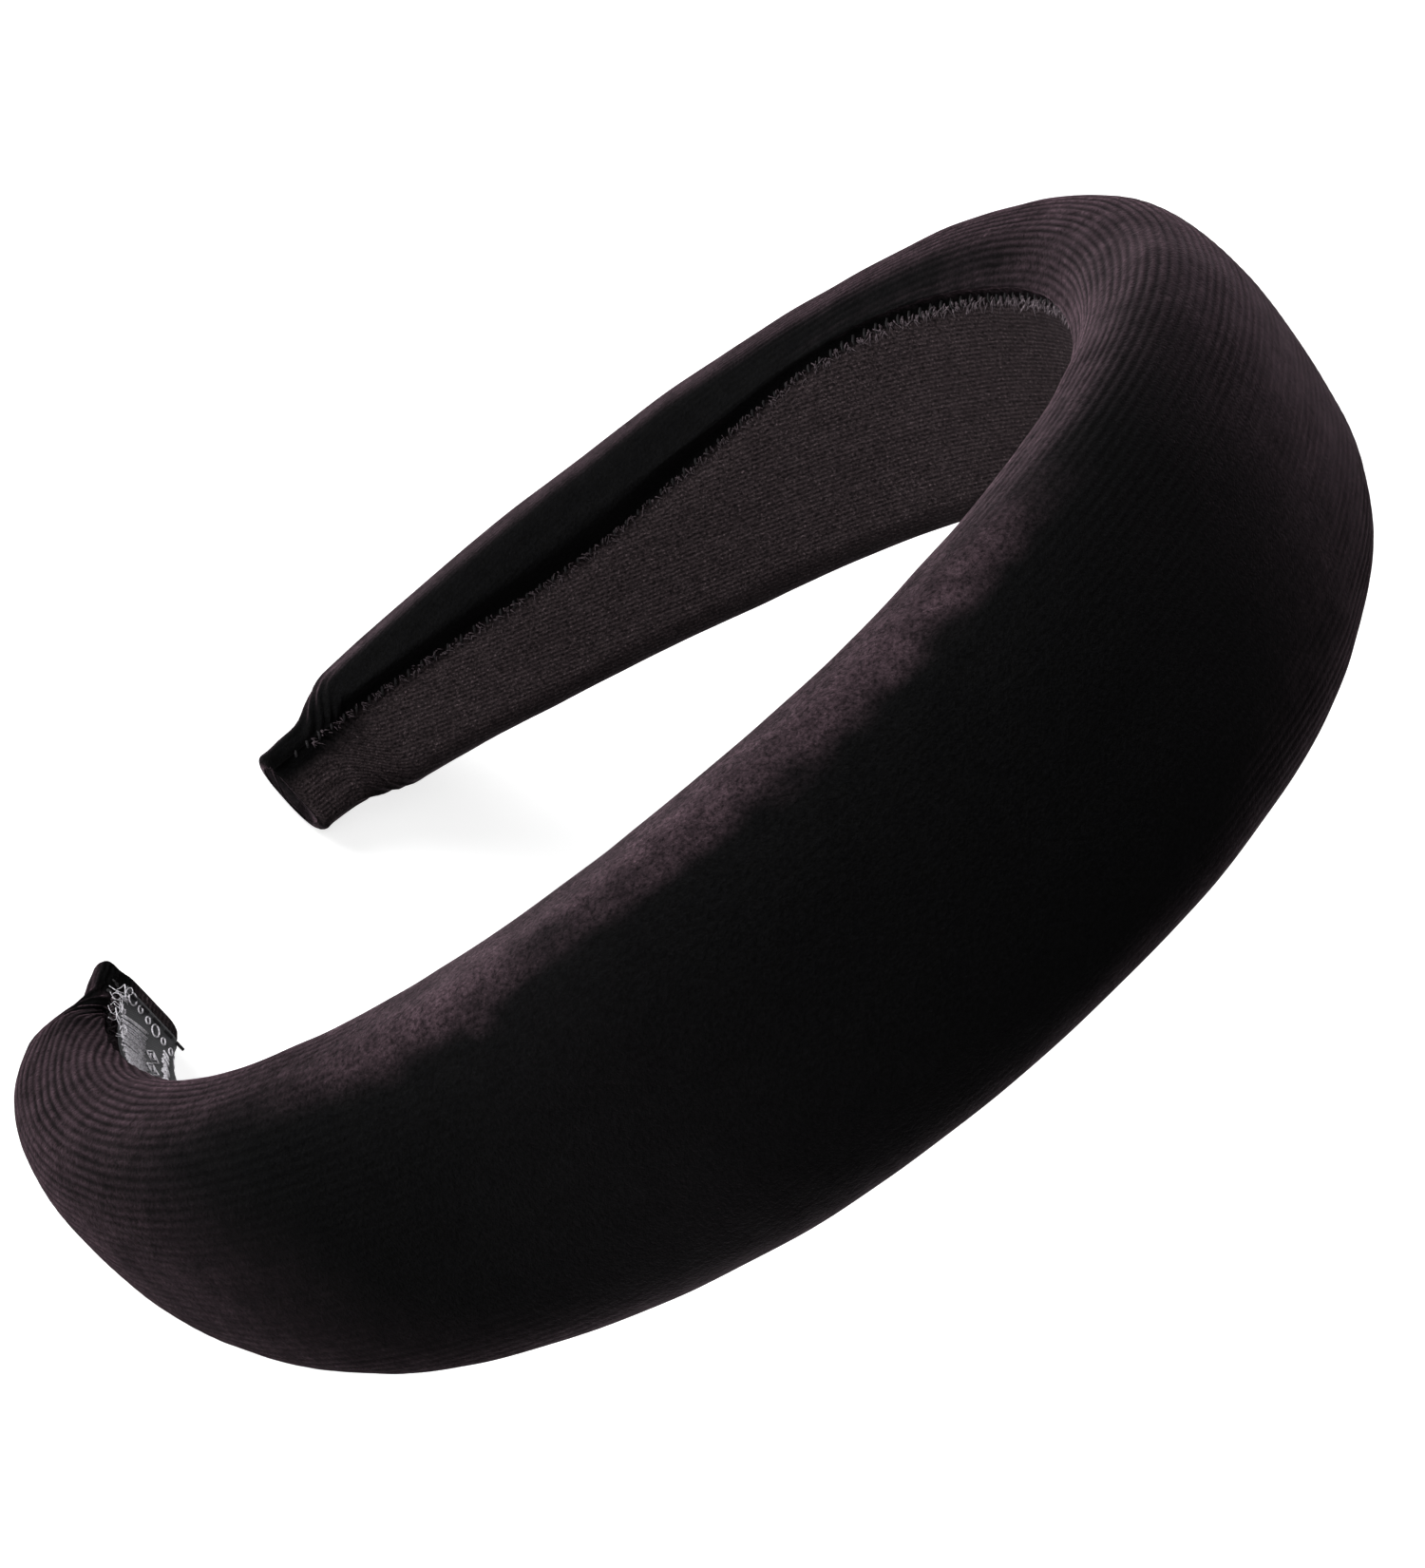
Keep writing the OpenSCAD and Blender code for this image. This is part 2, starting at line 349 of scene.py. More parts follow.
def tube(path, radius, sides=6, taper=1.0):
    """Points and faces of a closed tube along a path, narrowed towards its far end."""
    path = np.asarray(path, float)
    way = np.gradient(path, axis=0)
    way /= np.linalg.norm(way, axis=1, keepdims=True)
    guide = np.array([0.31, 0.87, 0.38])
    across = np.cross(way, guide)
    across /= np.linalg.norm(across, axis=1, keepdims=True)
    up = np.cross(way, across)
    angle = np.arange(sides) * 2 * math.pi / sides
    size = radius * np.linspace(1, taper, len(path))[:, None, None]
    cos, sin = np.cos(angle)[None, :, None], np.sin(angle)[None, :, None]
    ring = cos * across[:, None] + sin * up[:, None]
    points = (path[:, None] + size * ring).reshape(-1, 3)
    faces = []
    for i in range(len(path) - 1):
        for k in range(sides):
            a, b = i * sides + k, i * sides + (k + 1) % sides
            faces.append([a, b, b + sides, a + sides])
    faces.append(list(range(sides))[::-1])
    faces.append([len(points) - sides + k for k in range(sides)])
    return points, faces


def joined(parts):
    """One list of points and faces from many."""
    points, faces, count = [], [], 0
    for part_points, part_faces in parts:
        points.append(part_points)
        faces += [[k + count for k in face] for face in part_faces]
        count += len(part_points)
    return np.concatenate(points), faces


# ---------------------------------------------------------------- materials

class Finish:
    """One procedural material, built node by node."""

    def __init__(self, name, **shader):
        self.material = bpy.data.materials.new(name)
        self.material.use_nodes = True
        self.tree = self.material.node_tree
        self.shader = self.tree.nodes["Principled BSDF"]
        for socket, value in shader.items():
            self.shader.inputs[socket.replace("_", " ")].default_value = value

    def add(self, kind, inputs=(), **settings):
        """New node with its settings, its inputs given as values or output sockets."""
        node = self.tree.nodes.new("ShaderNode" + kind)
        for key, value in settings.items():
            setattr(node, key, value)
        for key, value in dict(inputs).items():
            if isinstance(value, bpy.types.NodeSocket):
                self.tree.links.new(value, node.inputs[key])
            else:
                node.inputs[key].default_value = value
        return node

    def math(self, operation, first, second=0.0):
        return self.add("Math", {0: first, 1: second}, operation=operation).outputs[0]

    def noise(self, vector, scale, detail=3.0, roughness=0.55):
        values = {"Vector": vector, "Scale": scale, "Detail": detail, "Roughness": roughness}
        return self.add("TexNoise", values).outputs["Fac"]

    def spread(self, value, low, high, to_low=0.0, to_high=1.0):
        """Value moved from low and high to to_low and to_high, and kept between them."""
        values = {0: value, 1: low, 2: high, 3: to_low, 4: to_high}
        return self.add("MapRange", values).outputs[0]

    def mix(self, factor, first, second, blend="MIX"):
        node = self.add("Mix", data_type="RGBA", blend_type=blend)
        for key, value in ((0, factor), (6, first), (7, second)):
            if isinstance(value, bpy.types.NodeSocket):
                self.tree.links.new(value, node.inputs[key])
            else:
                node.inputs[key].default_value = value
        return node.outputs[2]

    def bump(self, height, distance, strength=1.0, normal=None):
        values = {"Height": height, "Distance": distance, "Strength": strength}
        if normal is not None:
            values["Normal"] = normal
        return self.add("Bump", values).outputs[0]

    def use(self, **sockets):
        """Links the shader's inputs and gives the finished material."""
        for name, socket in sockets.items():
            self.tree.links.new(socket, self.shader.inputs[name.replace("_", " ")])
        return self.material


def colour(r, g, b):
    return (r, g, b, 1.0)


def velvet(name, black, brown, pressed, sheen, sheen_tint):
    """Corded velvet. Its cloth attribute holds l, the count of ribs and how open they are;
    pile holds how far it is pressed flat, how near the seam, which sets a painted shade
    in the seam groove, and a painted highlight band on the front rim; nap is the pile's
    lean. The colour goes over to brown as a painted sheen where the cloth turns away."""
    finish = Finish(name, Sheen_Weight=sheen, Sheen_Tint=sheen_tint, Sheen_Roughness=0.3,
                    Specular_IOR_Level=0.03)
    cloth = finish.add("Attribute", attribute_name="cloth").outputs["Vector"]
    _, count, opened = finish.add("SeparateXYZ", {0: cloth}).outputs
    pile = finish.add("Attribute", attribute_name="pile").outputs["Vector"]
    flat, near, painted_rim_highlight = finish.add("SeparateXYZ", {0: pile}).outputs
    place = finish.add("TexCoord").outputs["Object"]
    # Ribs, then noise for strokes along the cloth, blotches, grain and single fibres
    phase = finish.math("COSINE", finish.math("MULTIPLY", count, 2 * math.pi))
    crest = finish.spread(phase, -1.0, 1.0)
    depth = finish.math("MAXIMUM", opened, finish.math("MULTIPLY", flat, 0.4))
    streaks = finish.add("Mapping", {"Vector": cloth, "Scale": (0.06, 0.25, 0.0)}).outputs[0]
    strokes = finish.noise(streaks, 1.0, 5.0, 0.62)
    blotches = finish.noise(place, 420.0, 4.0, 0.62)
    grain = finish.noise(place, 2400.0, 2.0, 0.75)
    fibres = finish.noise(place, 5200.0, 1.0, 0.5)
    mottle = finish.math("MULTIPLY", finish.spread(strokes, 0.3, 0.7, 0.62),
                         finish.spread(blotches, 0.3, 0.68, 0.4))
    # Black pile with a painted sheen in brown where it turns away and on the painted highlight
    # band, and the crushed pile of the inner face
    painted_sheen = finish.add("LayerWeight", {"Blend": 0.5}).outputs["Facing"]
    painted_sheen = finish.math("POWER", finish.spread(painted_sheen, 0.35, 0.9), 2.0)
    painted_sheen = finish.math("MAXIMUM", painted_sheen, painted_rim_highlight)
    lit = finish.math("MULTIPLY", mottle, painted_sheen)
    upright = finish.mix(lit, colour(*black), colour(*brown))
    crushed = finish.mix(mottle, colour(*[0.6 * x for x in pressed]), colour(*pressed))
    base = finish.mix(flat, upright, crushed)
    # Painted shade in the valleys between ribs and a painted highlight on their crests, painted
    # shade in the seam groove, with grain and a few bright fibres
    rib_shade = finish.math("MULTIPLY", depth, finish.spread(crest, 0.0, 1.0, -0.85, 0.45))
    shade = finish.math("ADD", rib_shade, 1.0)
    shade = finish.math("MULTIPLY", shade, finish.spread(grain, 0.32, 0.7, 0.3, 1.8))
    sparkle = finish.math("MULTIPLY", finish.spread(flat, 0.0, 1.0, 0.8, 3.0),
                          finish.spread(fibres, 0.62, 0.74))
    shade = finish.math("MULTIPLY", shade, finish.math("ADD", sparkle, 1.0))
    # Painted shade in the groove along the seam
    shade = finish.math("MULTIPLY", shade, finish.spread(near, 0.35, 1.0, 1.0, 0.25))
    grey = finish.add("CombineColor", {0: shade, 1: shade, 2: shade}).outputs[0]
    base = finish.mix(1.0, base, grey, "MULTIPLY")
    # The surface is lit as if it faced the way the pile leans
    lean = finish.add("Attribute", attribute_name="nap").outputs["Vector"]
    straight = finish.add("NewGeometry").outputs["Normal"]
    leaned = finish.add("VectorMath", {0: straight, 1: lean}, operation="ADD").outputs[0]
    leaned = finish.add("VectorMath", {0: leaned}, operation="NORMALIZE").outputs[0]
    corded = finish.bump(finish.math("MULTIPLY", crest, depth), 0.00025, 0.5, leaned)
    tufted = finish.bump(grain, 0.0003, 0.6, corded)
    rough = finish.spread(blotches, 0.2, 0.8, 0.95, 0.75)
    return finish.use(Base_Color=base, Roughness=rough, Normal=tufted)


def thread_finish(name, dark, lit):
    """Twisted yarn: fine plies across the thread and a little fuzz."""
    finish = Finish(name, Sheen_Weight=0.04, Specular_IOR_Level=0.15)
    place = finish.add("TexCoord").outputs["Object"]
    plies = finish.noise(place, 3800.0, 2.0)
    base = finish.mix(finish.spread(plies, 0.3, 0.7), colour(*dark), colour(*lit))
    rough = finish.spread(plies, 0.2, 0.8, 0.9, 0.55)
    return finish.use(Base_Color=base, Roughness=rough, Normal=finish.bump(plies, 0.00015, 0.8))


def plastic_finish():
    """Moulded plastic: faint flow marks, scuffs and a fine matte grain."""
    finish = Finish("moulded_plastic", Specular_IOR_Level=0.4)
    place = finish.add("TexCoord").outputs["Object"]
    flow = finish.noise(place, 90.0, 4.0)
    grain = finish.noise(place, 3500.0, 2.0)
    base = finish.mix(flow, colour(0.012, 0.012, 0.014), colour(0.035, 0.034, 0.038))
    rough = finish.spread(flow, 0.3, 0.7, 0.42, 0.65)
    return finish.use(Base_Color=base, Roughness=rough, Normal=finish.bump(grain, 0.00004, 0.5))


def glue_finish():
    """Dried contact glue: cloudy amber with bubbles and brush marks."""
    finish = Finish("dried_glue", Specular_IOR_Level=0.5)
    place = finish.add("TexCoord").outputs["Object"]
    cloud = finish.noise(place, 240.0, 5.0)
    bubbles = finish.add("TexVoronoi", {"Vector": place, "Scale": 900.0}).outputs["Distance"]
    base = finish.mix(cloud, colour(0.62, 0.52, 0.32), colour(0.36, 0.27, 0.13))
    rough = finish.spread(cloud, 0.3, 0.7, 0.3, 0.6)
    return finish.use(Base_Color=base, Roughness=rough, Normal=finish.bump(bubbles, 0.0002, 0.6))


def foam_finish():
    """Open-cell foam: lighter cell walls, with painted shade in the pores."""
    finish = Finish("foam_cells", Specular_IOR_Level=0.1, Roughness=0.95)
    place = finish.add("TexCoord").outputs["Object"]
    pores = finish.add("TexVoronoi", {"Vector": place, "Scale": 1100.0}).outputs["Distance"]
    cloud = finish.noise(place, 120.0, 3.0)
    walls = finish.mix(cloud, colour(0.05, 0.045, 0.05), colour(0.085, 0.078, 0.085))
    # Painted shade in the pores
    deep = finish.spread(pores, 0.1, 0.55, 0.85, 0.0)
    base = finish.mix(deep, walls, colour(0.008, 0.008, 0.009))
    return finish.use(Base_Color=base, Normal=finish.bump(pores, 0.0004, 0.7))


def ribbon_finish():
    """Satin-woven label ribbon: crossed fine threads with a soft gloss."""
    finish = Finish("label_ribbon", Specular_IOR_Level=0.35, Sheen_Weight=0.1)
    cloth = finish.add("Attribute", attribute_name="cloth").outputs["Vector"]
    warp = finish.add("TexWave", {"Vector": cloth, "Scale": 1.9, "Distortion": 0.6},
                      bands_direction="Y")
    weft = finish.add("TexWave", {"Vector": cloth, "Scale": 1.3, "Distortion": 0.4},
                      bands_direction="X")
    weave = finish.math("MULTIPLY", warp.outputs["Fac"], weft.outputs["Fac"])
    base = finish.mix(weave, colour(0.006, 0.006, 0.008), colour(0.035, 0.034, 0.042))
    rough = finish.spread(weave, 0.0, 1.0, 0.7, 0.42)
    return finish.use(Base_Color=base, Roughness=rough, Normal=finish.bump(weave, 0.00012, 0.7))


def floor_finish():
    """Plain pale studio sweep with a hardly visible tone."""
    finish = Finish("studio_floor", Specular_IOR_Level=0.0, Roughness=1.0, Emission_Strength=0.6)
    place = finish.add("TexCoord").outputs["Object"]
    tone = finish.noise(place, 3.0, 2.0)
    base = finish.mix(tone, colour(0.93, 0.93, 0.93), colour(0.95, 0.95, 0.95))
    return finish.use(Base_Color=base, Emission_Color=base)


# ---------------------------------------------------------------- velvet sleeve

def front_angle(w, y):
    """Angle at which the underside, past the front rim, is a distance y from the middle."""
    return math.pi + np.arccos((2 * y / w) ** (1 / RIM_CURVE))


def slice_lines(w, h, lift, start, end, count):
    """Lines across the band for each width and height, as angle, y and h."""
    a = start[:, None] + np.linspace(0, 1, count) * (end - start)[:, None]
    y = w[:, None] / 2 * np.sign(np.cos(a)) * np.abs(np.cos(a)) ** RIM_CURVE
    over = RIM_SHARE + (1 - RIM_SHARE) * np.clip(np.sin(a), 0, 1) ** CROWN_CURVE
    under = 1 - np.clip(-np.sin(a), 0, 1) ** UNDERSIDE_CURVE - UNDERSIDE_FLAT
    under = RIM_SHARE * np.clip(under, 0, None) / (1 - UNDERSIDE_FLAT)
    return a, y, lift + h[:, None] * np.where(np.sin(a) > 0, over, under)


def sleeve_lines(l, inset, slit, count=900):
    """Lines of the sleeve, from the seam round the rear rim and the front rim to the seam."""
    corner = np.clip(1 - (HALF_L - np.abs(l)) / END_CORNER, 0, 1)
    w = band_w(l) - 2 * inset - 2 * END_CORNER * (1 - np.sqrt(1 - corner ** 2))
    h, seam = band_h(l) - 2 * inset, seam_y(l)
    start = front_angle(w, seam - slit / 2) - 2 * math.pi
    end = front_angle(w, seam + slit / 2)
    return slice_lines(w, h, inset, start, end, count)


def seam_groove(l, a, y, h):
    """Sinks the seam into the pad and lets the cloth in front of it swell past it."""
    ahead = -y - seam_y(l)[:, None]
    room = band_w(l)[:, None] / 2 - seam_y(l)[:, None]
    below = np.sin(a) < 0
    sink = GROOVE * np.exp(-(ahead / GROOVE_W) ** 2)
    deep = (SWELL * np.sqrt(band_w(l) / CROWN_W) * neck(l))[:, None]
    swell = deep * np.exp(-((ahead - 0.36 * room) / (0.2 * room)) ** 2) * (ahead > 0)
    return h + np.where(below, sink - swell, 0)


def cloth_lengths(a, y, h):
    """Length along each line, measured from the top of the band."""
    gaps = np.hypot(np.diff(y, axis=1), np.diff(h, axis=1))
    lengths = np.concatenate([np.zeros((len(y), 1)), np.cumsum(gaps, axis=1)], axis=1)
    return lengths - length_at(math.pi / 2, a, lengths)[:, None]


def length_at(angle, a, lengths):
    """Length along each line where it reaches an angle."""
    return np.array([np.interp(angle, a[i], lengths[i]) for i in range(len(a))])


def settled(l, a, y, h):
    """How far the sleeve moves outwards, at each l and along each line, when the foam
    presses on it like a little air. It is held at its seam, its ends and its glued face."""
    points = band_point(l[:, None], y, h) * MM
    rows, count = y.shape
    index = np.arange(rows * count).reshape(rows, count)
    corners = [index[:-1, :-1], index[:-1, 1:], index[1:, 1:], index[1:, :-1]]
    mesh = bpy.data.meshes.new("settling_sleeve")
    quads = np.stack(corners, axis=-1).reshape(-1, 4)
    mesh.from_pydata(points.reshape(-1, 3).tolist(), [], quads.tolist())
    piece = bpy.data.objects.new("settling_sleeve", mesh)
    bpy.context.scene.collection.objects.link(piece)
    glued = (np.sin(a) < 0) & (np.abs(y) < GLUED_SHARE * band_w(l)[:, None] / 2)
    glued[:, [0, -1]] = True
    glued[[0, -1]] = True
    held = piece.vertex_groups.new(name="held")
    held.add(index[glued].tolist(), 1.0, "REPLACE")
    cloth = piece.modifiers.new("Cloth", "CLOTH").settings
    cloth.effector_weights.gravity = 0
    cloth.use_pressure = True
    cloth.uniform_pressure_force = SETTLE_PRESSURE
    cloth.vertex_group_mass = "held"
    cloth.shrink_min = -SPARE_CLOTH
    for number in range(1, SETTLE_FRAMES + 1):
        bpy.context.scene.frame_set(number)
    result = piece.evaluated_get(bpy.context.evaluated_depsgraph_get()).data
    moved = np.zeros(rows * count * 3)
    result.vertices.foreach_get("co", moved)
    moved = moved.reshape(points.shape) - points
    outwards = np.cross(np.gradient(points, axis=1), np.gradient(points, axis=0))
    outwards /= np.linalg.norm(outwards, axis=2, keepdims=True)
    bpy.data.objects.remove(piece)
    bpy.data.meshes.remove(mesh)
    bpy.context.scene.frame_set(1)
    return np.clip(np.sum(moved * outwards, axis=2) / MM, 0, MOVE_CAP)


def smooth_at(table, u, v):
    """Values of the table at fractional rows u and columns v, by cubic B-splines."""
    total = np.zeros(len(u))
    pairs = []
    for place, size in ((u, table.shape[0]), (v, table.shape[1])):
        cell = np.floor(place).astype(int)
        t = place - cell
        before, after = 3 * t ** 3 - 6 * t ** 2 + 4, 1 + 3 * t + 3 * t ** 2 - 3 * t ** 3
        weights = ((1 - t) ** 3, before, after, t ** 3)
        pairs.append([(np.clip(cell + k - 1, 0, size - 1), w / 6)
                      for k, w in enumerate(weights)])
    for i, row_weight in pairs[0]:
        for j, column_weight in pairs[1]:
            total += row_weight * column_weight * table[i, j]
    return total


def at_lengths(grid, s, lengths, *lines):
    """Values of the lines where the grid's vertices lie along them."""
    found = np.zeros((len(lines), len(s)))
    for i in range(len(lengths)):
        here = slice(grid.start[i], grid.start[i + 1])
        for k, line in enumerate(lines):
            found[k, here] = np.interp(s[here], lengths[i], line[i])
    return found


def sleeve_relief(l, s, from_seam, pressed, rib):
    """How far the sleeve stands off its even surface, and how open its ribs are."""
    # How tight the seam pulls along the band, and where each stitch pulls
    tight = np.interp(np.abs(l), [0, 60, 95, 130, 160, 186], [1.0, 1.1, 0.7, 0.5, 1.0, 1.2])
    near_seam = np.exp(-from_seam / 2.0)
    wander = 0.7 * soft_noise(l / 9, s / 9, 3)
    wave = 0.5 + 0.5 * np.cos(math.pi * (l + wander) / STITCH_PITCH)
    # Ribs open where the band bends, more at its rims, and all over towards its tips
    bent = np.interp(l, [-120, -60, 0, 32, 85, 125], [0.15, 1.0, 1.0, 0.12, 0.12, 1.0])
    by_rim = 0.5 + 0.5 * ease((np.abs(s) - 4) / 12)
    by_tip = ease((np.abs(l) - 135) / 30)
    open_rib = (1 - pressed) * bent * np.maximum(by_rim, by_tip)
    worn = 0.7 + 0.3 * soft_noise(l / 5, s / 1.5, 7)
    ribs = RIB_HEIGHT * open_rib * worn * (rib - 0.5)
    # Puckers at the stitches, drag lines from them, uneven stuffing and gathers at the ends
    pucker = -PUCKER * tight * near_seam * wave * (0.6 + 0.4 * soft_noise(l / 4, s / 4, 11))
    drag = DRAG * tight * np.exp(-from_seam / 4) * soft_noise(l / 2.9, s / 14, 13)
    uneven = UNEVEN * soft_noise(l / 15, s / 11, 17)
    uneven += FINE_UNEVEN * soft_noise(l / 6, s / 5, 19)
    bunch = np.exp(-((np.abs(l) - PAD_HALF_L + 3) / 5) ** 2)
    gather = GATHER * bunch * np.sin(2 * np.pi * s / 2.6 + 2.5 * soft_noise(l / 6, s / 6, 23))
    clear = step(from_seam, 0, 0.6)
    return clear * (ribs + pucker + drag + uneven + gather), open_rib * worn


def velvet_sleeve(material):
    """The whole sleeve: its settled, ribbed and puckered skin, and its back against the
    pad. Rows lie closer together at the two ends, where it rounds off."""
    last = even_rows(0, 0.8, 0.2)
    l = np.concatenate([last - HALF_L, even_rows(1 - HALF_L, HALF_L - 1, ROW), HALF_L - last[::-1]])
    a, y, h = sleeve_lines(l, 0.0, 0.0)
    h = seam_groove(l, a, y, h)
    lengths = cloth_lengths(a, y, h)
    # Columns: even from the front seam to the rear rim, and wider on the inner face
    turn = length_at(INNER_START, a, lengths)
    spare = (lengths[:, 0] - turn) / INNER_COLUMN
    grid = Grid(turn / COLUMN + spare, lengths[:, -1] / COLUMN)
    row = grid.row
    inner = np.clip(grid.column - turn[row] / COLUMN, None, 0) * INNER_COLUMN
    s = inner + np.maximum(grid.column, turn[row] / COLUMN) * COLUMN
    slopes = np.gradient(y, axis=1), np.gradient(h, axis=1)
    place_y, place_h, slope_y, slope_h, angle = at_lengths(grid, s, lengths, y, h, *slopes, a)
    size = np.hypot(slope_y, slope_h)
    from_seam = np.minimum(s - lengths[row, 0], lengths[row, -1] - s)
    on_tip = step(np.abs(l[row]), HALF_L - 20, HALF_L - 8)
    upright = on_tip * (1 - step(place_y, -3, 0.5))
    pressed = step(-angle, math.radians(12), math.radians(50)) * (1 - upright)
    # Closeness to the seam: it wobbles the ribs and sets the painted shade in the seam groove
    near = np.exp(-from_seam / 1.8)
    tug = 0.5 * np.sin(2 * np.pi * l[row] / STITCH_PITCH)
    wobble = near * (tug + 0.6 * soft_noise(l[row] / 1.1, s / 2, 5))
    count = (s + wobble) / RIB + inner * (1 / INNER_RIB - 1 / RIB)
    rib = 0.5 + 0.5 * np.cos(2 * np.pi * count)
    relief, opened = sleeve_relief(l[row], s, from_seam, pressed, rib)
    # Swelling of the settled sleeve, read from its coarse rows and lines
    few = np.linspace(-HALF_L, HALF_L, SETTLE_ROWS)
    few_a, few_y, few_h = sleeve_lines(few, 0.0, 0.0, SETTLE_LINES)
    puff = settled(few, few_a, few_y, seam_groove(few, few_a, few_y, few_h))
    line = np.interp(l, few, few_a[:, 0]), np.interp(l, few, few_a[:, -1])
    share = (angle - line[0][row]) / (line[1] - line[0])[row]
    along = (l[row] / HALF_L + 1) / 2
    puff = smooth_at(puff, along * (SETTLE_ROWS - 1), share * (SETTLE_LINES - 1))
    relief += step(from_seam, 0, 1.5) * (puff - START_SMALLER * (1 - pressed))
    # The relief fades out at the tips, whose ends are rounded
    end = HALF_L - np.abs(l[row])
    rounding = END_ROUNDING * (1 - np.sqrt(1 - np.clip(1 - end / 0.9, 0, 1) ** 2))
    relief = relief * step(end, -0.1, 1.5) - rounding
    skin = band_point(l[row], place_y + relief * slope_h / size, place_h - relief * slope_y / size)

    back_a, back_y, back_h = sleeve_lines(l, COVER_T, SEAM_SLIT)
    back_lengths = cloth_lengths(back_a, back_y, back_h)
    back_grid = Grid(back_lengths[:, 0] / BACK_COLUMN, back_lengths[:, -1] / BACK_COLUMN)
    back_s = back_grid.column * BACK_COLUMN
    line_y, line_h = at_lengths(back_grid, back_s, back_lengths, back_y, back_h)
    back = band_point(l[back_grid.row], line_y, line_h)

    rows = np.concatenate([l[row], l[back_grid.row]])
    blank = 0 * back_grid.column
    counts = np.concatenate([count, back_grid.column])
    cloth = np.stack([rows, counts, np.concatenate([opened, blank])], axis=-1)
    # Painted highlight: a brown band along the front rim of the left arm, where light falls on it
    edge = 0.05 * soft_noise(l[row] / 9, s / 5, 31) + 0.04 * soft_noise(l[row] / 2, s / 2, 37)
    on_rim = step(-2 * place_y / band_w(l[row]) + edge, *RIM_HIGHLIGHT_SHARE)
    painted_rim_highlight = RIM_HIGHLIGHT * on_rim * step(l[row], *RIM_HIGHLIGHT_FROM) * (1 - step(l[row], *RIM_HIGHLIGHT_TO))
    pile = np.stack([np.concatenate([part, blank]) for part in (pressed, near, painted_rim_highlight)], axis=-1)
    return make_piece("velvet_sleeve", np.concatenate([skin, back]), shell_faces(grid, back_grid),
                      material, "cover_velvet", ["velvet_cover"], cloth=cloth, pile=pile,
                      nap=pile_lean(rows))


def tip_tuck(name, node, side, material):
    """End of the sleeve, folded in over the end of the hoop, with a few soft pleats."""
    part = np.linspace(0, 1, 9)
    angle = np.linspace(0, 2 * math.pi, 73)[:-1]
    p, a = np.meshgrid(part, angle, indexing="ij")
    half_w = TIP_W / 2 - COVER_T - END_CORNER + GAP
    half_h = TIP_H / 2 - COVER_T + GAP
    shrink = np.clip(1 - 1.02 * p ** 5, 0.02, 1)
    y = half_w * shrink * np.sign(np.cos(a)) * np.abs(np.cos(a)) ** 0.5
    h = TIP_H / 2 + half_h * shrink * np.sign(np.sin(a)) * np.abs(np.sin(a)) ** 0.7
    pleat = soft_noise(y / 1.4, h + 9 * side, 53)
    l = HALF_L - COVER_T * (1 - p ** 0.3) - 0.04 + 0.15 * np.sin(p * math.pi) * pleat
    points = band_point(side * l, y, h).reshape(-1, 3)
    index = np.arange(l.size).reshape(l.shape)
    faces = []
    for i in range(len(part) - 1):
        for k in range(len(angle)):
            j = (k + 1) % len(angle)
            faces.append([index[i, k], index[i, j], index[i + 1, j], index[i + 1, k]][::side])
    faces.append(index[0].tolist()[::-side])
    faces.append(index[-1].tolist()[::side])
    cloth = np.stack([side * l, y / RIB, 0.5 + 0 * y], axis=-1).reshape(-1, 3)
    pile = np.zeros_like(cloth)
    return make_piece(name, points, faces, material, "tip_velvet", [node],
                      cloth=cloth, pile=pile, nap=pile_lean((side * l).ravel()))


# ---------------------------------------------------------------- foam pad

def foam_pad(material):
    """Foam under the sleeve, with a channel in its base for the hoop."""
    inset = COVER_T + GAP + SQUEEZE
    l = FOAM_HALF_L * np.sin(np.linspace(-0.5, 0.5, FOAM_ROWS) * math.pi)
    w, h, channel = band_w(l) - 2 * inset, band_h(l) - 2 * inset, hoop_w(l) / 2 + 6 * GAP
    end = front_angle(w, channel)
    _, y, h = slice_lines(w, h, inset, math.pi - end, end, FOAM_LINES)
    rough = 0.12 * soft_noise(l[:, None] / 1.7, np.arange(FOAM_LINES)[None, :] / 1.3, 29)
    h = h + rough * step(h, FOAM_BASE, FOAM_BASE + 1)
    floor_y = np.stack([-channel, channel], axis=1)
    y = np.concatenate([y, floor_y], axis=1)
    h = np.concatenate([h, np.full_like(floor_y, FOAM_BASE)], axis=1)
    points = band_point(l[:, None], y, h)
    rows, size = y.shape
    index = np.arange(rows * size).reshape(rows, size)
    faces = []
    for i in range(rows - 1):
        for k in range(size):
            j = (k + 1) % size
            faces.append([index[i, k], index[i, j], index[i + 1, j], index[i + 1, k]])
    faces.append(index[0][::-1].tolist())
    faces.append(index[-1].tolist())
    return make_piece("foam_pad_cells", points.reshape(-1, 3), faces, material, "foam",
                      ["foam_pad"])


# ---------------------------------------------------------------- stitches and label

def seam_stitches(material):
    """Loops of thread that rise out of the inner face, cross the seam and dive into it."""
    count = int((HALF_L - TIP_L / 2) // STITCH_PITCH)
    part = np.linspace(0, 1, 8)
    parts = []
    for i in range(-count, count + 1):
        l = i * STITCH_PITCH + part * STITCH_SLANT
        y = -seam_y(l) + STITCH_IN - part * (STITCH_IN + STITCH_OUT)
        h = 0.9 - 0.45 * np.sin(math.pi * part)
        parts.append(tube(band_point(l, y, h), THREAD_R))
    points, faces = joined(parts)
    return make_piece("seam_stitch_loops", points, faces, material, "sewing_thread",
                      ["seam_stitches"])


